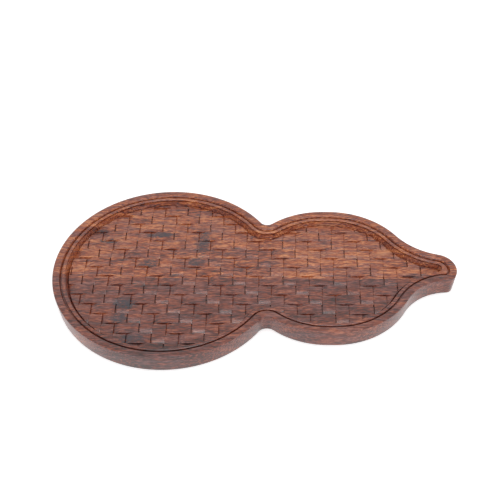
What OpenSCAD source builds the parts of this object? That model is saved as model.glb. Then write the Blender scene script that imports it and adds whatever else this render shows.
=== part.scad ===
// Gourd-shaped hardwood tea tray, carved from two edge-glued boards.
// The outline is a large and a small round lobe that meet in a waist, with a short blunt stem.
// Millimetres. The origin is on the table under the middle of the tray, with +X towards the stem.

/* [Outline] */
// Radius of the large lobe
big_r = 100.5; // [90:0.5:115]
// Radius of the small lobe
small_r = 73.2; // [68:0.1:78]
// How much longer than wide the small lobe is
small_stretch = 6; // [2:0.5:10]
// Distance between the centres of the two lobes
lobe_pitch = 141; // [130:1:150]
// Radius of the hollow where the two lobes meet
waist_r = 7; // [5:0.5:14]
// Length of the stem, from the small lobe's edge to the blunt end
stem_l = 36.3; // [31:0.1:43]
// Radius of the stem's hollow rear flank
rear_flank_r = 60; // [50:1:72]
// Radius of the stem's hollow front flank
front_flank_r = 45; // [39:1:56]
// Radius of the stem's blunt end
end_r = 18.5; // [17.5:0.5:21]
// Rounding of the stem's rear corner
rear_corner_r = 13.3; // [11.5:0.1:14.5]
// Rounding of the stem's front corner
front_corner_r = 7.5; // [5.5:0.1:9]
// How far the blunt end turns before it meets the rear corner, in degrees
rear_turn = 75; // [65:1:80]
// How far the blunt end turns before it meets the front corner, in degrees
front_turn = 29; // [24:1:34]

/* [Boards] */
// Height of the wooden body
body_h = 19; // [17:0.5:24]
// How far the outer wall leans in from the rim to the underside
wall_lean = 1.8; // [0.5:0.1:3]
// Eased edge round the rim and the underside
edge_ease = 0.8; // [0.4:0.1:1.2]
// How far the glue joint lies in front of the tray's long axis
joint_y = 7; // [0:0.5:15]

/* [Rim] */
// Width of the flat band round the rim
band_w = 5.5; // [4.6:0.1:6.2]
// Width of the groove inside the band
groove_w = 3.1; // [2.4:0.1:3.6]
// Depth of the groove
groove_d = 2.3; // [1.8:0.1:2.8]
// Width of the bead inside the groove
bead_w = 2.8; // [2:0.1:3.4]
// How far the crown of the bead lies below the band
bead_drop = 1.1; // [0.4:0.1:1.4]
// Width of the flat on the bead's crown
bead_flat = 0.4; // [0.2:0.1:0.8]
// Width of the slope from the bead down to the floor
slope_w = 1.8; // [1:0.1:2.4]
// Rounding of the bead at the stem's front corner
bead_corner_r = 1.2; // [0.8:0.1:2]

/* [Woven floor] */
// Depth from the rim to the ground between the strips
recess_d = 8.2; // [7:0.1:9]
// Pitch of the strips, both ways
cell = 11; // [9:0.5:14]
// Gap between neighbouring strips
strip_gap = 0.5; // [0.3:0.1:0.8]
// Height of a strip's crown above the ground
crown_h = 2.6; // [1.8:0.1:3]
// Height of a strip's sloped ends above the ground
dip_h = 1.3; // [0.9:0.1:1.6]
// Length of the slope at the left end of a strip along X
left_run = 6; // [4:0.5:8]
// Length of the slope at the front end of a strip along Y
front_run = 4.5; // [3:0.5:7]
// Length of the slope at the rear end of a strip along Y
rear_run = 4; // [3:0.5:7]
// Gap past the flat far end of a strip along X
end_gap = 1; // [0.5:0.1:1.5]
// Where a column of the weave starts, measured from the large lobe's centre
weave_x = 3; // [0:0.5:10]
// Where a row of the weave starts, measured from the large lobe's centre
weave_y = -3.7; // [-10:0.1:0]

/* [Dowels] */
// Diameter of the dowels
dowel_d = 6; // [5:0.5:6.5]
// Length of the dowels
dowel_l = 30; // [24:1:40]
// Bevel on the dowels' ends
dowel_bevel = 0.8; // [0.4:0.1:1.2]
// Radial clearance for glue round a dowel
dowel_clear = 0.05; // [0.05:0.01:0.1]
// Room for glue past each end of a dowel
dowel_end_clear = 0.5; // [0.3:0.1:1.5]

/* [Foot pads] */
// Diameter of the pads
pad_d = 14; // [10:0.5:18]
// Thickness of the pads
pad_h = 1; // [0.8:0.1:1.6]
// Bevel round the pads' lower edge
pad_bevel = 0.3; // [0.2:0.1:0.5]

/* [Hidden] */
$fn = 96;

// Arcs that run into each other cross by this much, so that they meet in one clean edge
bite = 0.01;
// Cuts run past the wood by this much
over = 5;
// A wedge that closes off an arc reaches this many times past the arc's own centre distance
wedge_share = 6;
// Steps in each quarter round of the bead
round_steps = 3;
// The radius of the recess's point lies within this share above half the stem's least width
point_slack_share = 0.4;
// Steps in the search for that radius
search_steps = 24;

// Centre of a circle at distance da from a and db from b, left of the way from a to b where side is 1
function touching(a, da, b, db, side) =
    let (d = norm(b - a), u = (b - a) / d, along = (da * da - db * db + d * d) / (2 * d))
    a + u * along + side * [-u.y, u.x] * sqrt(da * da - along * along);

// Centres of the outline's arcs, with the large lobe's centre as zero
stem_reach = small_stretch / 2 + small_r + stem_l;
big_c = [0, 0];
small_c = [lobe_pitch, 0];
near_c = small_c - [small_stretch / 2, 0];
far_c = small_c + [small_stretch / 2, 0];
end_c = [lobe_pitch + stem_reach - end_r, 0];
rear_waist_c = touching(big_c, big_r + waist_r, near_c, small_r + waist_r, 1);
front_waist_c = touching(big_c, big_r + waist_r, near_c, small_r + waist_r, -1);
rear_corner_c = end_c + (end_r - rear_corner_r) * [cos(rear_turn), sin(rear_turn)];
front_corner_c = end_c + (end_r - front_corner_r) * [cos(front_turn), -sin(front_turn)];
rear_flank_c =
    touching(far_c, small_r + rear_flank_r, rear_corner_c, rear_corner_r + rear_flank_r, 1);
front_flank_c =
    touching(far_c, small_r + front_flank_r, front_corner_c, front_corner_r + front_flank_r, -1);

// The tray reaches from the large lobe's edge to the end of the stem
mid_x = (lobe_pitch + stem_reach - big_r) / 2;
rim_z = pad_h + body_h;
ground_z = rim_z - recess_d;
groove_n = band_w;
bead_n = groove_n + groove_w;
slope_n = bead_n + bead_w;
floor_n = slope_n + slope_w;
round_w = (bead_w - bead_flat) / 2;

// The groove's front corner touches the blunt end and the front flank
groove_corner_r = bead_n + round_w + bead_corner_r;
groove_corner_c =
    touching(end_c, end_r - groove_corner_r, front_flank_c, front_flank_r + groove_corner_r, 1);
// The recess's point touches both flanks, with the radius that leaves the most room to the blunt end
stem_half = (norm(rear_flank_c - front_flank_c) - rear_flank_r - front_flank_r) / 2;
function point_at(r) = touching(rear_flank_c, rear_flank_r + r, front_flank_c, front_flank_r + r, -1);
function point_reach(r) = norm(point_at(r) - end_c) + r;
function best_radius(low, high, steps) =
    let (third = (high - low) / 3)
    steps == 0 ? (low + high) / 2 :
    point_reach(low + third) < point_reach(high - third) ? best_radius(low, high - third, steps - 1) :
    best_radius(low + third, high, steps - 1);
point_r = best_radius(stem_half, (1 + point_slack_share) * stem_half, search_steps);
point_c = point_at(point_r);

// Each board is what a block of this width holds of the carved blank
block_w = big_r + joint_y + over;
// Dowels stand along the glue joint, in the middle of the floor's thickness
dowel_shares = [0.1, 0.36, 0.62, 0.86];
dowel_x = [for (s = dowel_shares) s * (big_r + lobe_pitch + stem_reach) - big_r];
dowel_z = pad_h + (body_h - recess_d) / 2;
// Pads stand in a square under the large lobe and as a pair under the small one
pad_shares = [0.7, 0.6];
pad_at = concat(
    [for (a = [45:90:315]) big_c + pad_shares[0] * big_r * [cos(a), sin(a)]],
    [for (a = [50, -50]) small_c + pad_shares[1] * small_r * [cos(a), sin(a)]]);

// Profiles are lists of [inset from the outline, height], from the lowest point up
body_profile = [[wall_lean + edge_ease, pad_h], [wall_lean, pad_h + edge_ease],
    [0, rim_z - edge_ease], [edge_ease, rim_z]];
groove_profile = [[groove_n, rim_z - groove_d], [groove_n, rim_z + over]];
bead_profile = [for (i = [0:round_steps]) let (a = 90 * i / round_steps)
    [bead_n + round_w * (1 - cos(a)), rim_z - groove_d + (groove_d - bead_drop) * sin(a)]];
recess_profile = concat([[floor_n, ground_z]],
    [for (i = [round_steps:-1:0]) let (a = 90 * i / round_steps)
        [slope_n - round_w * (1 - sin(a)), rim_z - bead_drop - round_w * (1 - cos(a))]],
    [[slope_n - round_w, rim_z + over]]);

// A disc whose radius follows the profile: lobes shrink with the inset, and hollows grow
module turned(centre, r, profile, way) {
    translate([centre.x, centre.y, 0])
        rotate_extrude()
            polygon(concat([[0, profile[0].y]],
                [for (p = profile) [max(r + way * p.x, 0), p.y]],
                [[0, profile[len(profile) - 1].y]]));
}

module lobe(centre, r, profile) {
    turned(centre, r, profile, -1);
}

// A hollow runs past the top and bottom of the plate that it cuts
module hollow(centre, r, profile) {
    last = len(profile) - 1;
    turned(centre, r + bite,
        concat([profile[0] - [0, over]], profile, [profile[last] + [0, over]]), 1);
}

// A plate between arc centres, as high as the profile
module plate(points, profile) {
    translate([0, 0, profile[0].y])
        linear_extrude(profile[len(profile) - 1].y - profile[0].y)
            polygon(points);
}

// A bar along X between the ends of a stretched lobe, as wide as the lobe
module bar(from, to, r, profile) {
    last = len(profile) - 1;
    translate([from.x, from.y, 0])
        rotate([90, 0, 90])
            linear_extrude(to.x - from.x)
                polygon(concat([for (p = profile) [p.x - r, p.y]],
                    [for (i = [last:-1:0]) [r - profile[i].x, profile[i].y]]));
}

module lobes(profile) {
    lobe(big_c, big_r, profile);
    lobe(near_c, small_r, profile);
    lobe(far_c, small_r, profile);
    bar(near_c, far_c, small_r - bite, profile);
    difference() {
        plate([big_c, front_waist_c, near_c, rear_waist_c], profile);
        hollow(rear_waist_c, waist_r, profile);
        hollow(front_waist_c, waist_r, profile);
    }
}

module stem(tips, profile) {
    difference() {
        plate(concat([far_c, front_flank_c], tips, [rear_flank_c]), profile);
        hollow(rear_flank_c, rear_flank_r, profile);
        hollow(front_flank_c, front_flank_r, profile);
    }
}

// The whole gourd with its blunt end
module blunt_gourd(corner_c, corner_r, profile) {
    lobes(profile);
    stem([corner_c, rear_corner_c], profile);
    lobe(rear_corner_c, rear_corner_r, profile);
    lobe(corner_c, corner_r, profile);
    wedge = [for (c = [corner_c, rear_corner_c]) end_c + wedge_share * (c - end_c)];
    intersection() {
        lobe(end_c, end_r - bite, profile);
        plate(concat([end_c], wedge), profile);
    }
}

// The gourd with the pointed end that the recess has
module pointed_gourd(profile) {
    lobes(profile);
    stem([point_c], profile);
    lobe(point_c, point_r, profile);
}

// Radius of an arc that falls from the crown to the dip over this run
function fall_r(run) = (pow(run, 2) + pow(crown_h - dip_h, 2)) / (2 * (crown_h - dip_h));

// One strip of the weave, two cells long along X, with a flat crown and a slope at its near end, and
// with a slope at its far end too where that has a run
module strip(gap, near_run, far_run) {
    start = strip_gap / 2 - cell;
    stop = cell - gap;
    crown_z = ground_z + crown_h;
    rotate([90, 0, 0])
        linear_extrude(cell - strip_gap, center = true)
            intersection() {
                translate([start, ground_z - over])
                    square([stop - start, crown_h + over]);
                union() {
                    translate([start + near_run, crown_z - fall_r(near_run)])
                        circle(fall_r(near_run));
                    translate([start + near_run, ground_z - over])
                        square([stop - far_run - start - near_run, crown_h + over - bite]);
                    if (far_run > 0)
                        translate([stop - far_run, crown_z - fall_r(far_run)])
                            circle(fall_r(far_run));
                }
            }
}

// Which quarter of the twill's repeat a cell is in: 0 and 1 hold a strip along Y, 2 and 3 one along X
function quarter(i, j) = let (k = (i + j) % 4) k < 0 ? k + 4 : k;

// Does a strip with this centre reach into the recess?
function near_recess(at) = norm(at - big_c) < big_r || norm(at - small_c) < small_r + small_stretch ||
    (at.x > far_c.x && abs(at.y) < 2 * end_r);

module strips() {
    for (i = [-ceil(big_r / cell):ceil((lobe_pitch + stem_reach) / cell)],
        j = [-ceil(big_r / cell):ceil(big_r / cell)]) {
        upright = quarter(i, j) == 0;
        at = [weave_x + cell * (i + (upright ? 0.5 : 1)), weave_y + cell * (j + (upright ? 1 : 0.5))];
        if ((upright || quarter(i, j) == 2) && near_recess(at))
            translate([at.x, at.y, 0])
                rotate([0, 0, upright ? 90 : 0])
                    if (upright) strip(strip_gap / 2, front_run, rear_run);
                    else strip(end_gap, left_run, 0);
    }
}

module dowel_bores() {
    for (x = dowel_x)
        translate([x, -joint_y, dowel_z])
            rotate([90, 0, 0])
                cylinder(h = dowel_l + 2 * dowel_end_clear, r = dowel_d / 2 + dowel_clear, center = true);
}

module carved_blank() {
    difference() {
        blunt_gourd(front_corner_c, front_corner_r, body_profile);
        difference() {
            blunt_gourd(groove_corner_c, groove_corner_r, groove_profile);
            blunt_gourd(groove_corner_c, groove_corner_r, bead_profile);
        }
        difference() {
            pointed_gourd(recess_profile);
            strips();
        }
        dowel_bores();
    }
}

// The part of the carved blank in a block that starts at near_y and has one face in the glue joint
module board(near_y) {
    translate([-mid_x, 0, 0])
        intersection() {
            carved_blank();
            translate([-big_r - over, near_y, 0])
                cube([big_r + lobe_pitch + stem_reach + 2 * over, block_w, rim_z + over]);
        }
}

module rear_board() {
    color("#a8603a")
        board(-joint_y);
}

module front_board() {
    color("#7c4b3d")
        board(-joint_y - block_w);
}

module dowel(i) {
    color("#dcb889")
        translate([dowel_x[i] - mid_x, -joint_y, dowel_z])
            rotate([90, 0, 0])
                rotate_extrude()
                    polygon([[0, -dowel_l / 2], [dowel_d / 2 - dowel_bevel, -dowel_l / 2],
                        [dowel_d / 2, dowel_bevel - dowel_l / 2], [dowel_d / 2, dowel_l / 2 - dowel_bevel],
                        [dowel_d / 2 - dowel_bevel, dowel_l / 2], [0, dowel_l / 2]]);
}

module foot_pad(i) {
    color("#d9dad6")
        translate([pad_at[i].x - mid_x, pad_at[i].y, 0])
            rotate_extrude()
                polygon([[0, 0], [pad_d / 2 - pad_bevel, 0], [pad_d / 2, pad_bevel], [pad_d / 2, pad_h],
                    [0, pad_h]]);
}

rear_board();
front_board();
dowel(0);  // dowel_1
dowel(1);  // dowel_2
dowel(2);  // dowel_3
dowel(3);  // dowel_4
foot_pad(0);  // foot_pad_1
foot_pad(1);  // foot_pad_2
foot_pad(2);  // foot_pad_3
foot_pad(3);  // foot_pad_4
foot_pad(4);  // foot_pad_5
foot_pad(5);  // foot_pad_6
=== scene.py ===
from math import atan2, ceil, cos, pi, radians, sin, sqrt

import bmesh
import bpy
import numpy as np
from mathutils import Matrix, Vector
from mathutils.geometry import delaunay_2d_cdt


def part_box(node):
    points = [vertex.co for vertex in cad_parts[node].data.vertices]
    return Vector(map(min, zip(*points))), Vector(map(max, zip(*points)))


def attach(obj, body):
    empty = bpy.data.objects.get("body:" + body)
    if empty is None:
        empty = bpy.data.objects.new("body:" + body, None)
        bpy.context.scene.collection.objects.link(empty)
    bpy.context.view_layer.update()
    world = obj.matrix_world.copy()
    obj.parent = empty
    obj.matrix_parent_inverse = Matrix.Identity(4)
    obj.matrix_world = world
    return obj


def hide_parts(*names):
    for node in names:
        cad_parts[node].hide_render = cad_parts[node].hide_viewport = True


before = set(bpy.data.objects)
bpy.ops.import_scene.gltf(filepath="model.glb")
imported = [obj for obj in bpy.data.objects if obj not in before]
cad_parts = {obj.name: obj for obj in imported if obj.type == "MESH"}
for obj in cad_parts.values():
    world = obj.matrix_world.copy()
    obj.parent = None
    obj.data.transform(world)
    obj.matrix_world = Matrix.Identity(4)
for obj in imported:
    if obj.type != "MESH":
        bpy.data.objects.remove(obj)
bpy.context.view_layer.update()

# The camera stands in front of the tray, a hair to the right of its middle, and looks down at it by
# 45 degrees through a long lens. It leans by less than a degree.
AIM = Vector((-0.0047, 0.0414, 0.0010))
DISTANCE, FAR_CLIP = 0.9167, 20
TURN, TILT, LEAN = radians(1.36), radians(45.05), radians(-0.757)
PHOTO_WIDTH_PX, FOCAL_PX, SENSOR_MM = 500, 996.7, 36.0

toward_camera = Vector((cos(TILT) * sin(TURN), -cos(TILT) * cos(TURN), sin(TILT)))
level = Vector((0, 0, 1)).cross(toward_camera).normalized()
upright = toward_camera.cross(level)
right = level * cos(LEAN) + upright * sin(LEAN)
up = upright * cos(LEAN) - level * sin(LEAN)
lens = bpy.data.cameras.new("camera")
lens.sensor_width = SENSOR_MM
lens.lens = SENSOR_MM * FOCAL_PX / PHOTO_WIDTH_PX
lens.clip_end = FAR_CLIP
camera = bpy.data.objects.new("camera", lens)
camera.matrix_world = Matrix.Translation(AIM + DISTANCE * toward_camera) @ Matrix(
    (right, up, toward_camera)).transposed().to_4x4()
bpy.context.collection.objects.link(camera)
bpy.context.scene.camera = camera

# The two boards are reddish-brown hardwood, glued edge to edge into one panel with the grain from
# the large lobe to the stem, and carved from the solid: a flat band, a groove and a bead run round
# the rim, and the floor is cut as a basket weave of strips with sloping ends. Sizes in millimetres.
MM = 0.001
BIG_R, SMALL_R, STRETCH, LOBE_PITCH, WAIST_R, STEM_L = 100.5, 73.2, 6, 141, 7, 36.3
STEM_REACH = STRETCH / 2 + SMALL_R + STEM_L
LENGTH = BIG_R + LOBE_PITCH + STEM_REACH
REAR_FLANK_R, FRONT_FLANK_R, END_R = 60, 45, 18.5
REAR_CORNER_R, FRONT_CORNER_R, REAR_TURN, FRONT_TURN = 13.3, 7.5, radians(75), radians(29)
GROOVE_CORNER_R, POINT_SLACK, SEARCH_STEPS = 11.0, 0.4, 24

board_lo, board_hi = (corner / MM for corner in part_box("rear_board"))
UNDER_Z, RIM_Z, JOINT_Y = board_lo.z, board_hi.z, board_lo.y
big_c = Vector((board_lo.x + BIG_R, 0))
near_c = big_c + Vector((LOBE_PITCH - STRETCH / 2, 0))
far_c = big_c + Vector((LOBE_PITCH + STRETCH / 2, 0))
end_c = big_c + Vector((LOBE_PITCH + STEM_REACH - END_R, 0))


LEFT, RIGHT = 1, -1


def touching(a, from_a, b, from_b, side):
    """Centre at distance from_a from a and from_b from b, left or right of the way from a to b."""
    gap = (b - a).length
    along = (b - a) / gap
    s = (from_a**2 - from_b**2 + gap**2) / (2 * gap)
    return a + along * s + side * Vector((-along.y, along.x)) * sqrt(from_a**2 - s**2)


rear_waist_c = touching(big_c, BIG_R + WAIST_R, near_c, SMALL_R + WAIST_R, LEFT)
front_waist_c = touching(big_c, BIG_R + WAIST_R, near_c, SMALL_R + WAIST_R, RIGHT)
rear_corner_c = end_c + (END_R - REAR_CORNER_R) * Vector((cos(REAR_TURN), sin(REAR_TURN)))
front_corner_c = end_c + (END_R - FRONT_CORNER_R) * Vector((cos(FRONT_TURN), -sin(FRONT_TURN)))
rear_flank_c = touching(
    far_c, SMALL_R + REAR_FLANK_R, rear_corner_c, REAR_CORNER_R + REAR_FLANK_R, LEFT)
front_flank_c = touching(
    far_c, SMALL_R + FRONT_FLANK_R, front_corner_c, FRONT_CORNER_R + FRONT_FLANK_R, RIGHT)
groove_corner_c = touching(
    end_c, END_R - GROOVE_CORNER_R, front_flank_c, FRONT_FLANK_R + GROOVE_CORNER_R, LEFT)


def point_at(r):
    """Centre of the recess's point, which touches both flanks of the stem."""
    return touching(rear_flank_c, REAR_FLANK_R + r, front_flank_c, FRONT_FLANK_R + r, RIGHT)


# The point gets the radius that leaves the widest rim at the blunt end
stem_half = ((rear_flank_c - front_flank_c).length - REAR_FLANK_R - FRONT_FLANK_R) / 2
low, high = stem_half, (1 + POINT_SLACK) * stem_half
for _ in range(SEARCH_STEPS):
    third = (high - low) / 3
    lower, upper = low + third, high - third
    if (point_at(lower) - end_c).length + lower < (point_at(upper) - end_c).length + upper:
        high = upper
    else:
        low = lower
POINT_R = (low + high) / 2
point_c = point_at(POINT_R)


BULGE, HOLLOW = 1, -1


def outline(*circles):
    """Arcs of a closed outline, anticlockwise, from circles of centre, radius, way (bulge or
    hollow) and number of steps. Each circle touches the next, or is as large and joined to it by a
    straight edge."""

    def heading(v):
        return atan2(v.y, v.x)

    def contact(one, two):
        """The angles on both circles of the point where they touch."""
        (c1, r1, way1, _), (c2, r2, way2, _) = one, two
        if r1 == r2:
            return (heading(c2 - c1) - pi / 2,) * 2
        if way1 == way2:
            across = c2 - c1 if r2 < r1 else c1 - c2
            return heading(across), heading(across)
        return heading(c2 - c1), heading(c1 - c2)

    touches = [contact(circles[k - 1], circle) for k, circle in enumerate(circles)]
    arcs = []
    for k, (centre, r, way, steps) in enumerate(circles):
        start, stop = touches[k][1], touches[(k + 1) % len(circles)][0]
        sweep = way * ((way * (stop - start)) % (2 * pi))
        arcs.append((centre, r, way, start, sweep, steps))
        if r == circles[(k + 1) % len(circles)][1]:
            arcs.append((centre, r, way, stop, 0, 1))
    return arcs


def loop(arcs, inset, z):
    """Points of the outline moved inwards by the inset, at one height."""
    points = []
    for centre, r, way, start, sweep, steps in arcs:
        angle = start + sweep * np.arange(steps) / steps
        reach = r - way * inset
        points.append(np.c_[centre.x + reach * np.cos(angle), centre.y + reach * np.sin(angle),
                            np.full(steps, z)])
    return np.concatenate(points)


BIG_STEPS, WAIST_STEPS, SMALL_STEPS = 288, 28, 48
FLANK_STEPS, CORNER_STEPS, END_STEPS = 36, 18, 24
big = (big_c, BIG_R, BULGE, BIG_STEPS)
near = (near_c, SMALL_R, BULGE, SMALL_STEPS)
far = (far_c, SMALL_R, BULGE, SMALL_STEPS)
end = (end_c, END_R, BULGE, END_STEPS)
front_waist = (front_waist_c, WAIST_R, HOLLOW, WAIST_STEPS)
rear_waist = (rear_waist_c, WAIST_R, HOLLOW, WAIST_STEPS)
front_flank = (front_flank_c, FRONT_FLANK_R, HOLLOW, FLANK_STEPS)
rear_flank = (rear_flank_c, REAR_FLANK_R, HOLLOW, FLANK_STEPS)
front_corner = (front_corner_c, FRONT_CORNER_R, BULGE, CORNER_STEPS)
groove_corner = (groove_corner_c, GROOVE_CORNER_R, BULGE, CORNER_STEPS)
point = (point_c, POINT_R, BULGE, CORNER_STEPS + END_STEPS)
front_side = (big, front_waist, near, far, front_flank)
rear_side = (rear_flank, far, near, rear_waist)
body = outline(*front_side, front_corner, end, *rear_side)
groove = outline(*front_side, groove_corner, end, *rear_side)
recess = outline(*front_side, point, *rear_side)


def quarter(steps):
    """Sine and 1 - cosine over a quarter turn, for rounded edges."""
    return [(sin(a), 1 - cos(a)) for a in (pi / 2 * k / steps for k in range(steps + 1))]


# The rim's sections. A name with N is a distance in from the outline, and one with Z a height. The
# rows go up the outer wall, over the band, the groove and the bead, and down to the wall's foot.
LEAN_IN, EASE, UNDER_STEPS, BAND_STEPS = 1.8, 0.8, 4, 5
BAND_W, GROOVE_W, GROOVE_D, SHOULDER_W = 5.5, 2.5, 3.3, 1.5
SHOULDER_SHARES = (0, 0.2, 0.4, 0.6, 0.8, 1)
BEAD_W, BEAD_H, BEAD_DROP, BEAD_FLAT, BEAD_STEPS = 1.8, 0.55, 0.75, 0.4, 6
LIP_N, LIP_H, QUIRK_N, QUIRK_D, QUIRK_H = 11.0, 0.9, 9.8, 2.6, 0.4
WALL_N, WALL_DROP, FOOT_N, FOOT_H, CUT_W, RECESS_D = 11.5, 0.1, 13.0, 0.6, 0.8, 8.2
BEAD_N = BAND_W + GROOVE_W
LIP_W = LIP_N - BEAD_N - BEAD_W - BEAD_FLAT
EDGE_N = FOOT_N + CUT_W
GROOVE_Z = RIM_Z - GROOVE_D
BEAD_Z = RIM_Z - BEAD_DROP
QUIRK_Z = RIM_Z - QUIRK_D
GROUND_Z = RIM_Z - RECESS_D

wall_rows = [loop(body, LEAN_IN + EASE * (1 - s), UNDER_Z + EASE * c)
             for s, c in quarter(UNDER_STEPS)]
wall_rows += [loop(body, EASE * c, RIM_Z - EASE * (1 - s)) for s, c in quarter(BAND_STEPS)]
groove_rows = [loop(groove, BAND_W + SHOULDER_W * t, RIM_Z - GROOVE_D * t**2)
               for t in SHOULDER_SHARES]
groove_rows.append(loop(groove, BEAD_N, GROOVE_Z))
groove_rows += [loop(groove, BEAD_N + BEAD_W * c, BEAD_Z - BEAD_H * (1 - s))
                for s, c in quarter(BEAD_STEPS)]
recess_rows = [loop(recess, LIP_N - LIP_W * (1 - s), BEAD_Z - LIP_H * c)
               for s, c in quarter(BEAD_STEPS)]
recess_rows += [loop(recess, QUIRK_N, QUIRK_Z + QUIRK_H), loop(recess, QUIRK_N, QUIRK_Z),
                loop(recess, WALL_N, QUIRK_Z - WALL_DROP), loop(recess, FOOT_N, GROUND_Z + FOOT_H)]

# The weave is a twill, and each of its strips spans two cells
CELL, SPAN, STRIP_H, END_GAP, WEAVE_X, WEAVE_Y = 11.0, 2, 2.6, 1.0, 3.0, -3.7
LEFT_RUN, FRONT_RUN, REAR_RUN = 6.5, 5.0, 3.2
LEFT_FALL, FRONT_FALL, REAR_FALL, FALL_POWER = 1.5, 1.5, 1.1, 1.1
STRIP_EASE, TINY = 0.22, 1e-6
STRIP_Z = GROUND_Z + STRIP_H


def strip_z(x, y):
    """Height of the woven floor. A strip along Y slopes down to both its ends, and one along X to
    its left end, while its right end stops at a narrow notch. The edges of all strips are eased, so
    that two neighbours meet in a fine line, where the lowest of them counts."""

    def slope(distance, run, fall):
        return fall * np.clip(1 - distance / run, 0, 1) ** FALL_POWER

    lowest = np.full(np.shape(x), np.inf)
    for dx in (-TINY, TINY):
        for dy in (-TINY, TINY):
            u = (x + dx - big_c.x - WEAVE_X) / CELL
            v = (y + dy - WEAVE_Y) / CELL
            i, j = np.floor(u), np.floor(v)
            turn = (i + j) % (2 * SPAN)
            along_y = turn < SPAN
            u, v = u - i, v - j
            along = CELL * (np.where(along_y, v, u) + turn % SPAN)
            across = CELL * np.where(along_y, u, v)
            left = SPAN * CELL - along - np.where(along_y, 0, END_GAP)
            first_fall = np.where(along_y, slope(along, FRONT_RUN, FRONT_FALL),
                                  slope(along, LEFT_RUN, LEFT_FALL))
            last_fall = np.where(along_y, slope(left, REAR_RUN, REAR_FALL), 0)
            edge = np.minimum(np.minimum(across, CELL - across), np.minimum(along, left))
            inside = np.clip(STRIP_EASE - edge, 0, STRIP_EASE)
            eased = np.sqrt(STRIP_EASE**2 - inside**2) - STRIP_EASE
            top = np.where(left > 0, STRIP_Z - first_fall - last_fall + eased, GROUND_Z)
            lowest = np.minimum(lowest, top)
    return np.maximum(lowest, GROUND_Z)


def cell_lines(low, high, start, places, *extra):
    """Grid lines across the floor, at the same places in each cell."""
    first, last = ceil((low - start) / CELL) - 1, ceil((high - start) / CELL)
    lines = np.concatenate([start + CELL * k + np.array(places) for k in range(first, last)])
    return np.array(sorted({*lines[(lines > low) & (lines < high)], *extra}))


# The grid is fine at the strips' edges and, along X, at the notch past each strip's flat end
STRIP_PLACES = [0, 0.03, 0.10, 0.25, 1.1, 2.2, 3.3, 4.5, 6.0, 7.0, 8.2, 9.4, 10.75, 10.90, 10.97]
NOTCH_PLACES = [9.75, 9.90, 9.97, 9.99, 10.01]
columns = cell_lines(big_c.x - BIG_R, end_c.x + END_R, big_c.x + WEAVE_X,
                     STRIP_PLACES + NOTCH_PLACES)
lines = cell_lines(-BIG_R, BIG_R, WEAVE_Y, STRIP_PLACES, JOINT_Y)

# The floor's edge has a point wherever a grid line reaches the wall
edge = loop(recess, EDGE_N, 0)[:, :2]
edge_points, edge_owner = [], []
on_column = [[] for _ in columns]
on_line = [[] for _ in lines]
for k, (p, q) in enumerate(zip(edge, np.roll(edge, -1, axis=0))):
    edge_points.append(p)
    edge_owner.append(k)
    cuts = []
    for axis, grid, found in ((0, columns, on_column), (1, lines, on_line)):
        first, last = np.searchsorted(grid, sorted((p[axis], q[axis])))
        cuts += [((grid[g] - p[axis]) / (q[axis] - p[axis]), found, g) for g in range(first, last)]
    for t, found, g in sorted(cuts, key=lambda cut: cut[0]):
        found[g].append(len(edge_points))
        edge_points.append(p + t * (q - p))
        edge_owner.append(k)
edge_points = np.array(edge_points)

# The grid's points inside the floor's edge, and the cells that the edge leaves whole
inside = np.zeros((len(columns), len(lines)), bool)
for i, found in enumerate(on_column):
    inside[i] = np.searchsorted(np.sort(edge_points[found][:, 1]), lines) % 2 == 1
whole = inside[:-1, :-1] & inside[1:, :-1] & inside[:-1, 1:] & inside[1:, 1:]
for i, found in enumerate(on_column):
    for j in np.searchsorted(lines, edge_points[found][:, 1]) - 1:
        whole[max(i - 1, 0):i + 1, j] = False
for j, found in enumerate(on_line):
    for i in np.searchsorted(columns, edge_points[found][:, 0]) - 1:
        whole[i, max(j - 1, 0):j + 1] = False

# What a triangulation fills: all that its outline holds, or all but the holes in it
ALL_INSIDE, ALL_BUT_HOLES = 1, 2
blank = bmesh.new()


def filled(mesh, loops, second=1):
    """Triangles between closed loops of vertices, with the inner loops left open. The loops lie in
    one plane, along X and the axis that is given as second."""
    verts = [v for one in loops for v in one]
    flat = [Vector((v.co.x, v.co[second])) for v in verts]
    numbers = iter(range(len(verts)))
    faces = [[next(numbers) for _ in one] for one in loops]
    _, _, triangles, came_from, _, _ = delaunay_2d_cdt(flat, [], faces, ALL_BUT_HOLES, TINY)
    for triangle in triangles:
        mesh.faces.new([verts[came_from[k][0]] for k in triangle])


def around(row):
    """Each two neighbours of a closed row."""
    return zip(row, row[1:] + row[:1])


def joined(mesh, low, high):
    """A band of faces between two closed rows."""
    for (a, b), (c, d) in zip(around(low), around(high)):
        mesh.faces.new((a, b, d, c))


rings = []
for rows in (wall_rows, groove_rows, recess_rows):
    made = [[blank.verts.new(p) for p in row] for row in rows]
    for low, high in zip(made, made[1:]):
        joined(blank, low, high)
    rings.append(made)
for outer, inner in zip(rings, rings[1:]):
    filled(blank, (outer[-1], inner[0]))
blank.faces.new(reversed(rings[0][0]))

edge_verts = [blank.verts.new((x, y, z))
              for (x, y), z in zip(edge_points, strip_z(*edge_points.T))]
heights = strip_z(*np.meshgrid(columns, lines, indexing="ij"))
grid_verts = {}
for i, j in zip(*np.nonzero(inside)):
    grid_verts[i, j] = blank.verts.new((columns[i], lines[j], heights[i, j]))
for i, j in zip(*np.nonzero(whole)):
    blank.faces.new([grid_verts[c] for c in ((i, j), (i + 1, j), (i + 1, j + 1), (i, j + 1))])

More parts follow.
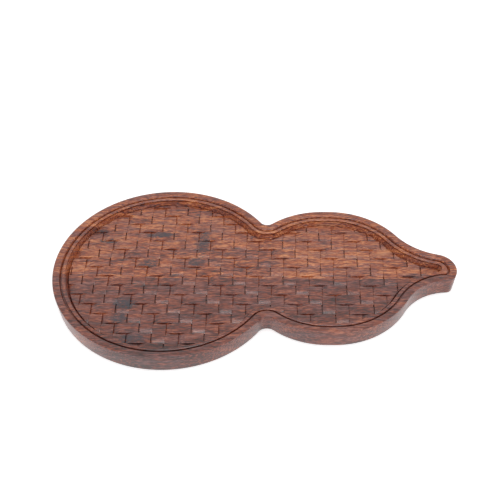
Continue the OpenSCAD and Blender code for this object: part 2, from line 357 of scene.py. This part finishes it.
# From the wall's foot to the floor's edge
foot = rings[-1][-1]
owners = np.searchsorted(edge_owner, np.arange(len(foot) + 1))
for k, (here, there) in enumerate(around(foot)):
    chain = [edge_verts[m % len(edge_verts)] for m in range(owners[k], owners[k + 1] + 1)]
    middle = len(chain) // 2
    for a, b in zip(chain[:middle], chain[1:middle + 1]):
        blank.faces.new((here, b, a))
    blank.faces.new((here, there, chain[middle]))
    for a, b in zip(chain[middle:], chain[middle + 1:]):
        blank.faces.new((there, b, a))

# The cells that the floor's edge cuts through are filled with triangles
flat, flat_verts = [Vector(p) for p in edge_points], list(edge_verts)
numbered = {}
padded_whole = np.pad(whole, 1)
for (i, j), v in grid_verts.items():
    if not padded_whole[i:i + 2, j:j + 2].all():
        numbered[i, j] = len(flat)
        flat.append(Vector((columns[i], lines[j])))
        flat_verts.append(v)
sides = [(m, (m + 1) % len(edge_points)) for m in range(len(edge_points))]
for axis, grid, found in ((1, lines, on_column), (0, columns, on_line)):
    for g, cuts in enumerate(found):
        stops = [(edge_points[m][axis], m) for m in cuts]
        for h in range(len(grid)):
            at = (g, h) if axis else (h, g)
            if at in grid_verts:
                stops.append((grid[h], numbered.get(at)))
        stops.sort(key=lambda stop: stop[0])
        in_floor = False
        for (_, a), (_, b) in zip(stops, stops[1:]):
            if a is not None and a < len(edge_points):
                in_floor = not in_floor
            if in_floor and a is not None and b is not None:
                sides.append((a, b))
flat_out, _, triangles, came_from, _, _ = delaunay_2d_cdt(flat, sides, [], ALL_INSIDE, TINY)
new_verts = []
for p, sources in zip(flat_out, came_from):
    new_verts.append(flat_verts[sources[0]] if sources else
                     blank.verts.new((p.x, p.y, float(strip_z(np.array(p.x), np.array(p.y))))))
for triangle in triangles:
    centre = sum((flat_out[m] for m in triangle), Vector((0, 0))) / 3
    i, j = np.searchsorted(columns, centre.x) - 1, np.searchsorted(lines, centre.y) - 1
    if 0 <= i < whole.shape[0] and 0 <= j < whole.shape[1] and whole[i, j]:
        continue
    corners = [new_verts[m] for m in triangle]
    if len({*corners}) == 3:
        blank.faces.new(corners)
bmesh.ops.recalc_face_normals(blank, faces=blank.faces)

BORE_R, BORE_DEPTH, BORE_STEPS, BORE_SHARES = 3.05, 15.5, 40, (0.1, 0.36, 0.62, 0.86)
REAR, FRONT, ON_JOINT, SHARP = 1, -1, 1e-5, radians(38)


def installed(solid, name, material, node):
    """Turns a finished solid into a piece with crisp edges, which stands for the CAD's node."""
    mesh = bpy.data.meshes.new(name)
    solid.to_mesh(mesh)
    solid.free()
    mesh.materials.append(material)
    mesh.shade_smooth()
    mesh.set_sharp_from_angle(angle=SHARP)
    piece = bpy.data.objects.new(name, mesh)
    bpy.context.collection.objects.link(piece)
    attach(piece, "root")
    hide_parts(node)


def board(side):
    """The rear or front part of the carved blank, closed at the glue joint and bored there for the
    dowels."""
    half = blank.copy()
    bmesh.ops.bisect_plane(
        half, geom=half.verts[:] + half.edges[:] + half.faces[:], dist=ON_JOINT,
        plane_co=(0, JOINT_Y, 0), plane_no=(0, side, 0), clear_inner=True)
    joint = [next(e.verts[0] for e in half.edges if e.is_boundary)]
    while True:
        ahead = [e.other_vert(joint[-1]) for e in joint[-1].link_edges if e.is_boundary]
        step = next((v for v in ahead if v not in joint[-2:]), None)
        if step is None or step is joint[0]:
            break
        joint.append(step)
    mouths = []
    for share in BORE_SHARES:
        x, z = board_lo.x + share * LENGTH, (UNDER_Z + GROUND_Z) / 2
        mouth = [half.verts.new((x + BORE_R * cos(turn), JOINT_Y, z + BORE_R * sin(turn)))
                 for turn in (2 * pi * k / BORE_STEPS for k in range(BORE_STEPS))]
        bottom = [half.verts.new(v.co + Vector((0, side * BORE_DEPTH, 0))) for v in mouth]
        joined(half, mouth, bottom)
        half.faces.new(bottom)
        mouths.append(mouth)
    filled(half, [joint, *mouths], second=2)
    bmesh.ops.recalc_face_normals(half, faces=half.faces)
    bmesh.ops.scale(half, vec=(MM, MM, MM), verts=half.verts)
    return half


class Value:
    """An output in a material. Python's operators on it add the material's Math nodes."""

    def __init__(self, look, socket):
        self.look, self.socket = look, socket

    def math(self, operation, *inputs):
        return self.look.node("Math", {"operation": operation}, dict(enumerate(inputs)))

    def __add__(self, other):
        return self.math("ADD", self, other)

    def __sub__(self, other):
        return self.math("SUBTRACT", self, other)

    def __rsub__(self, other):
        return self.math("SUBTRACT", other, self)

    def __mul__(self, other):
        return self.math("MULTIPLY", self, other)

    def __truediv__(self, other):
        return self.math("DIVIDE", self, other)

    def __rtruediv__(self, other):
        return self.math("DIVIDE", other, self)

    def __pow__(self, other):
        return self.math("POWER", self, other)

    __radd__, __rmul__ = __add__, __mul__

    def over(self, low, high):
        """0 below low, 1 above high, and a soft step between them."""
        return self.look.node("MapRange", {"interpolation_type": "SMOOTHSTEP"},
                              {"Value": self, "From Min": low, "From Max": high})


class Look:
    """The nodes of a new material, or of the world."""

    def __init__(self, owner, shader="Principled BSDF"):
        owner.use_nodes = True
        self.owner, self.tree = owner, owner.node_tree
        self.shader = self.tree.nodes[shader]

    def node(self, kind, settings=None, inputs=None, output=None):
        """A new node's first output, or the named one. Its settings come first, and then the values
        and links of its sockets."""
        made = self.tree.nodes.new("ShaderNode" + kind)
        for name, value in (settings or {}).items():
            if name == "stops":
                ramp = made.color_ramp.elements
                while len(ramp) < len(value):
                    ramp.new(1)
                for stop, (place, colour) in zip(ramp, value):
                    stop.position, stop.color = place, (*colour, 1)
            else:
                setattr(made, name, value)
        self.fill(made, inputs or {})
        found = made.outputs[0]
        if output:
            found = next(o for o in made.outputs if output in (o.identifier, o.name))
        return Value(self, found)

    def fill(self, node, inputs):
        """Sets or links a node's sockets, given by number, identifier or name."""
        for name, value in inputs.items():
            socket = node.inputs[name] if isinstance(name, int) else next(
                i for i in node.inputs if name in (i.identifier, i.name))
            if isinstance(value, Value):
                self.tree.links.new(value.socket, socket)
            else:
                socket.default_value = value

    def place(self):
        """Where a point is in the tray, along, across and up, in millimetres."""
        at = self.node("TexCoord", output="Object")
        apart = self.node("SeparateXYZ", {}, {0: at}).socket.node
        return [Value(self, axis) * (1 / MM) for axis in apart.outputs]

    def noise(self, x, y, z, detail=2.0, roughness=0.5):
        """Noise with features about one unit wide in each of the three measures."""
        at = self.node("CombineXYZ", {}, {0: x, 1: y, 2: z})
        return self.node("TexNoise", {}, {"Vector": at, "Scale": 1.0, "Detail": detail,
                                          "Roughness": roughness})

    def mix(self, share, one, other):
        """One colour at a share of 0, and the other at a share of 1."""
        return self.node("Mix", {"data_type": "RGBA"},
                         {"Factor_Float": share, "A_Color": one, "B_Color": other}, "Result_Color")


def spots(x, y, places):
    """Sum of soft ovals, each given as along, across, half length, half width and strength. Along
    and across are measured from the middle of the large lobe."""
    total = 0.0
    for along, across, half_length, half_width, strength in places:
        away = ((x - along - big_c.x) / half_length) ** 2 + ((y - across) / half_width) ** 2
        total = total + strength / (1 + away * away)
    return total


# Marks in the wood that follow the growth rings, as length and width, and marks that lie along the
# grain, as length, width and height. The rings are seen on a slant, and sway and wave. The lilac
# marks are partly the wood's own tone and partly painted sheen.
SWAY, WAVE, BROAD, STREAK, LILAC = (70, 30), (17, 8), (48, 8), (26, 2.7), (24, 2.4)
FINE, HAIR, RAGGED, PORE = (11, 1.3, 1.6), (5, 0.7, 0.9), (3, 1.1, 1.1), (2.6, 0.5, 0.5)
SLANT_Y, SLANT_Z, SWAY_BY, WAVE_BY, MEAN = 0.8, 0.9, 11, 2.6, 0.5
# How much the marks change the tone, the stains' edge, the surface's height and its roughness
BROAD_TONE, STREAK_TONE, FINE_TONE, HAIR_TONE = 0.9, 1.1, 1.6, 2.1
RAGGED_EDGE, FINE_EDGE = 6, 4
FINE_HEIGHT, HAIR_HEIGHT, PORE_DEPTH = 0.35, 0.3, 0.9
OILED_ROUGH, FINE_ROUGH, STAIN_ROUGH = 0.28, 0.12, 0.06
# Where a noise turns into a mark, how strongly the mark covers the wood, and its colour
LILAC_FROM_TO, HAIR_FROM_TO = (0.44, 0.62), (0.35, 0.65)
STAIN_FROM_TO, PORE_FROM_TO = (0.4, 1.0), (0.60, 0.72)
LILAC_SHARE, STAIN_SHARE, PORE_SHARE = 0.5, 0.9, 0.6
# The deep lilac is the wood's own tone, and the pale lilac is a painted sheen.
DEEP_LILAC, PAINTED_SHEEN_LILAC = (0.080, 0.030, 0.030, 1), (0.28, 0.135, 0.128, 1)
BLUE_BLACK, PORE_BROWN = (0.026, 0.026, 0.037, 1), (0.030, 0.012, 0.010, 1)


def hardwood(name, tones, seed, shades, stains):
    """Oiled hardwood with its grain along the tray. The tones go from the dark lines to the light
    early wood, the seed moves the figure, the shades are lighter and darker parts, and the stains a
    blue-black figure. Lilac patches along the rings mix the wood's own lilac tone with a painted
    sheen."""
    look = Look(bpy.data.materials.new(name))
    x, y, z = look.place()

    def ringed(size, ring, layer, **noise):
        return look.noise(x / size[0], ring / size[1], seed + layer, **noise)

    def grained(size, **noise):
        return look.noise(x / size[0], y / size[1], z / size[2] + seed, **noise)

    ring = y * SLANT_Y + z * SLANT_Z
    ring = ring + (ringed(SWAY, ring, 0) - MEAN) * SWAY_BY
    ring = ring + (ringed(WAVE, ring, 2) - MEAN) * WAVE_BY
    broad = ringed(BROAD, ring, 4)
    streak = ringed(STREAK, ring, 6, detail=3.0, roughness=0.6)
    lilac = ringed(LILAC, ring, 12, detail=3.0, roughness=0.65).over(*LILAC_FROM_TO)
    fine = grained(FINE, detail=3.0, roughness=0.6)
    hair = grained(HAIR)
    ragged = grained(RAGGED, detail=5.0, roughness=0.75)
    pores = grained(PORE, detail=1.0).over(*PORE_FROM_TO)

    tone = MEAN + (broad - MEAN) * BROAD_TONE + (streak - MEAN) * STREAK_TONE
    tone = tone + (fine - MEAN) * FINE_TONE + (hair - MEAN) * HAIR_TONE + spots(x, y, shades)
    colour = look.node("ValToRGB", {"stops": tones}, {0: tone})
    # Lilac patches: the wood's lilac tone, lightened into a painted sheen where the hair noise is
    # high.
    lilac_and_painted_sheen = look.mix(hair.over(*HAIR_FROM_TO), DEEP_LILAC, PAINTED_SHEEN_LILAC)
    colour = look.mix(lilac * LILAC_SHARE, colour, lilac_and_painted_sheen)
    uneven = 1 + ((ragged - MEAN) * RAGGED_EDGE + (fine - MEAN) * FINE_EDGE)
    dark = (spots(x, y, stains) * uneven).over(*STAIN_FROM_TO)
    colour = look.mix(dark * STAIN_SHARE, colour, BLUE_BLACK)
    colour = look.mix(pores * PORE_SHARE, colour, PORE_BROWN)
    roughness = OILED_ROUGH + fine * FINE_ROUGH + dark * STAIN_ROUGH
    height = fine * FINE_HEIGHT + hair * HAIR_HEIGHT - pores * PORE_DEPTH
    bump = look.node("Bump", {}, {"Strength": 0.35, "Distance": 0.00008, "Height": height})
    look.fill(look.shader, {"Base Color": colour, "Roughness": roughness, "Normal": bump,
                            "IOR": 1.5, "Coat Weight": 0.35, "Coat Roughness": 0.27})
    return look.owner


rear_tones = [(0.00, (0.045, 0.009, 0.006)), (0.27, (0.185, 0.037, 0.017)),
              (0.50, (0.33, 0.075, 0.029)), (0.73, (0.46, 0.128, 0.045)),
              (1.00, (0.68, 0.27, 0.115))]
front_tones = [(0.00, (0.026, 0.006, 0.004)), (0.27, (0.090, 0.018, 0.010)),
               (0.50, (0.170, 0.033, 0.016)), (0.73, (0.255, 0.060, 0.028)),
               (1.00, (0.42, 0.135, 0.070))]
rear_shades = [(150, 25, 60, 40, 0.10), (-88, 30, 12, 60, 0.06)]
front_shades = [(-20, -96, 75, 15, -0.22)]
rear_stains = [(-10, 47, 13, 3.2, 1.0), (-17, 11, 10, 6, 0.8), (30, 38, 7, 16, 0.8),
               (25, 12, 8, 5, 0.9), (-65, 51, 9, 4, 0.8), (-56, 39, 9, 3, 1.0)]
front_stains = [(-35, -37, 9, 6, 1.3), (-38, -54, 8, 6, 0.9), (-24, -77, 11, 6, 0.9)]
rear_seed, front_seed = 3.7, 21.3
rear_wood = hardwood("orange brown hardwood", rear_tones, rear_seed, rear_shades, rear_stains)
front_wood = hardwood("grey brown hardwood", front_tones, front_seed, front_shades, front_stains)

installed(board(REAR), "carved_rear_board", rear_wood, "rear_board")
installed(board(FRONT), "carved_front_board", front_wood, "front_board")

# The four dowels are beech, stand in the glue joint, half in each board, and keep the boards level
# while the glue sets. They have straight flutes for the glue and bevelled ends.
DOWELS, FLUTES, FLUTE_D, DOWEL_STEPS = 4, 20, 0.14, 160
BEVEL, BEVEL_MIDDLE_IN, BEVEL_MIDDLE_UP = 0.8, 0.25, 0.6
FIBRE_L, FIBRE_W, FLECK_L, FLECK_W = 9, 0.5, 1.1, 0.22
FLECK_FROM_TO, FLECK_SHARE, FLECK_DEPTH = (0.62, 0.72), 0.5, 0.5
FLECK_BROWN, BEECH_ROUGH, FIBRE_ROUGH = (0.36, 0.20, 0.10, 1), 0.55, 0.15


def turned(profile, steps, flutes=0, flute_d=0.0):
    """A solid turned round Z. The profile goes from pole to pole, as radius and height."""
    solid = bmesh.new()
    (_, start), *rows, (_, stop) = profile
    widest = max(r for r, _ in rows)
    rings = []
    for r, z in rows:
        cut = flute_d * r / widest
        angles = [2 * pi * k / steps for k in range(steps)]
        reach = [r - cut * sin(flutes * a / 2) ** 2 for a in angles]
        rings.append([solid.verts.new((d * cos(a), d * sin(a), z))
                      for d, a in zip(reach, angles)])
    for low, high in zip(rings, rings[1:]):
        joined(solid, low, high)
    for ring, z in ((rings[0], start), (rings[-1], stop)):
        pole = solid.verts.new((0, 0, z))
        for a, b in around(ring):
            solid.faces.new((a, b, pole))
    bmesh.ops.recalc_face_normals(solid, faces=solid.faces)
    return solid


beech = Look(bpy.data.materials.new("beech"))
x, y, z = beech.place()
fibre = beech.noise(y / FIBRE_L, x / FIBRE_W, z / FIBRE_W, detail=3.0, roughness=0.6)
fleck = beech.noise(y / FLECK_L, x / FLECK_W, z / FLECK_W).over(*FLECK_FROM_TO)
beech_tones = [(0.25, (0.52, 0.34, 0.18)), (0.5, (0.68, 0.48, 0.28)), (0.75, (0.78, 0.59, 0.38))]
straw = beech.node("ValToRGB", {"stops": beech_tones}, {0: fibre})
ridges = beech.node("Bump", {}, {"Strength": 0.3, "Distance": 0.00005,
                                 "Height": fibre - fleck * FLECK_DEPTH})
beech.fill(beech.shader, {"Base Color": beech.mix(fleck * FLECK_SHARE, straw, FLECK_BROWN),
                          "Roughness": BEECH_ROUGH + fibre * FIBRE_ROUGH, "Normal": ridges})

for number in range(1, DOWELS + 1):
    low, high = (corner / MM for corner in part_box(f"dowel_{number}"))
    reach, half = (high.x - low.x) / 2, (high.y - low.y) / 2
    rows = [(reach - BEVEL, -half),
            (reach - BEVEL * BEVEL_MIDDLE_IN, -half + BEVEL * BEVEL_MIDDLE_UP),
            (reach, -half + BEVEL)]
    rows = [(0, -half), *rows, *((r, -h) for r, h in reversed(rows)), (0, half)]
    dowel = turned(rows, DOWEL_STEPS, FLUTES, FLUTE_D)
    laid = Matrix.Translation((low + high) / 2) @ Matrix.Rotation(pi / 2, 4, "X")
    dowel.transform(Matrix.Scale(MM, 4) @ laid)
    installed(dowel, f"fluted_dowel_{number}", beech.owner, f"dowel_{number}")

# The six foot pads are thin discs of milky silicone, stuck to the underside, and keep the tray from
# sliding. Each has a rounded lower edge, and round grip ridges are moulded into its lower face.
PADS, PAD_ROUND, PAD_STEPS, PAD_EDGE_STEPS = 6, 0.35, 96, 5
RIDGES, RIDGE_D, RIDGE_PITCH, RIDGE_STEPS = 4, 0.16, 1.5, 10
DUST_W, DUST_FROM_TO, DUST_SHARE, DUST_ROUGH = 2.5, (0.45, 0.75), 0.5, 0.2
GRAIN_W, SILICONE_ROUGH = 0.3, 0.42
MILKY, DUSTY = (0.64, 0.63, 0.60, 1), (0.48, 0.46, 0.42, 1)

silicone = Look(bpy.data.materials.new("milky silicone"))
x, y, z = silicone.place()
dust = silicone.noise(x / DUST_W, y / DUST_W, z / DUST_W, detail=4.0, roughness=0.6)
grain = silicone.noise(x / GRAIN_W, y / GRAIN_W, z / GRAIN_W)
fine_grain = silicone.node("Bump", {}, {"Strength": 0.15, "Distance": 0.00003, "Height": grain})
silicone.fill(silicone.shader, {
    "Base Color": silicone.mix(dust.over(*DUST_FROM_TO) * DUST_SHARE, MILKY, DUSTY),
    "Roughness": SILICONE_ROUGH + dust * DUST_ROUGH, "IOR": 1.41, "Normal": fine_grain})

for number in range(1, PADS + 1):
    low, high = (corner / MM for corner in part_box(f"foot_pad_{number}"))
    reach, middle = (high.x - low.x) / 2, (low + high) / 2
    rows = [(RIDGE_PITCH * k / RIDGE_STEPS, RIDGE_D * sin(pi * k / RIDGE_STEPS) ** 2)
            for k in range(RIDGES * RIDGE_STEPS + 1)]
    rows += [(reach - PAD_ROUND * (1 - s), PAD_ROUND * c) for s, c in quarter(PAD_EDGE_STEPS)]
    rows += [(reach, high.z), (0, high.z)]
    pad = turned(rows, PAD_STEPS)
    pad.transform(Matrix.Scale(MM, 4) @ Matrix.Translation((middle.x, middle.y, 0)))
    installed(pad, f"silicone_pad_{number}", silicone.owner, f"foot_pad_{number}")

# The photographer's table is white, and stands in a white room, which gives most of the light. A
# long soft lamp stands in front, and two small ones hang overhead and on the right. The camera sees
# white all round.
TABLE_HALF, TABLE_GLOW, ROOM_FILL, TABLE_WHITE = 3.0, 0.6, 0.57, (0.85, 0.85, 0.86, 1)

table_mesh = bpy.data.meshes.new("table")
table_mesh.from_pydata([(-TABLE_HALF, -TABLE_HALF, 0), (TABLE_HALF, -TABLE_HALF, 0),
                        (TABLE_HALF, TABLE_HALF, 0), (-TABLE_HALF, TABLE_HALF, 0)],
                       [], [(0, 1, 2, 3)])
table = bpy.data.objects.new("table", table_mesh)
bpy.context.collection.objects.link(table)


def where_seen(look):
    """1 for rays from the camera, straight or through a reflection or glass, and 0 for others."""
    camera_ray, glossy_ray, clear_ray = (
        look.node("LightPath", output=f"Is {kind} Ray")
        for kind in ("Camera", "Glossy", "Transmission"))
    return camera_ray + glossy_ray + clear_ray


paper = Look(bpy.data.materials.new("white table"))
paper.fill(paper.shader, {"Base Color": TABLE_WHITE, "Roughness": 0.9, "Emission Strength": 1.0,
                          "Emission Color": where_seen(paper) * TABLE_GLOW})
table_mesh.materials.append(paper.owner)

world = bpy.data.worlds.new("white room")
bpy.context.scene.world = world
room = Look(world, "Background")
room.fill(room.shader, {"Color": ROOM_FILL + where_seen(room) * (1 - ROOM_FILL), "Strength": 1.0})


def soft_lamp(name, place, size, watts, colour=(1, 1, 1)):
    """A rectangular lamp that is turned to the middle of the tray."""
    data = bpy.data.lights.new(name, "AREA")
    data.shape, data.size, data.size_y = "RECTANGLE", *size
    data.energy, data.color = watts, colour
    lamp = bpy.data.objects.new(name, data)
    lamp.location = place
    lamp.rotation_euler = (Vector((0, 0, 0)) - Vector(place)).to_track_quat("-Z", "Y").to_euler()
    bpy.context.collection.objects.link(lamp)


soft_lamp("overhead", place=(0.0, -0.05, 1.2), size=(0.5, 0.35), watts=3.0,
          colour=(0.96, 0.98, 1.0))
soft_lamp("front", place=(0.0, -1.2, 0.55), size=(1.6, 0.4), watts=5.0, colour=(0.97, 0.98, 1.0))
soft_lamp("right", place=(1.1, 0.1, 0.7), size=(0.6, 0.6), watts=1.0)
bpy.context.scene.view_settings.view_transform = "Standard"
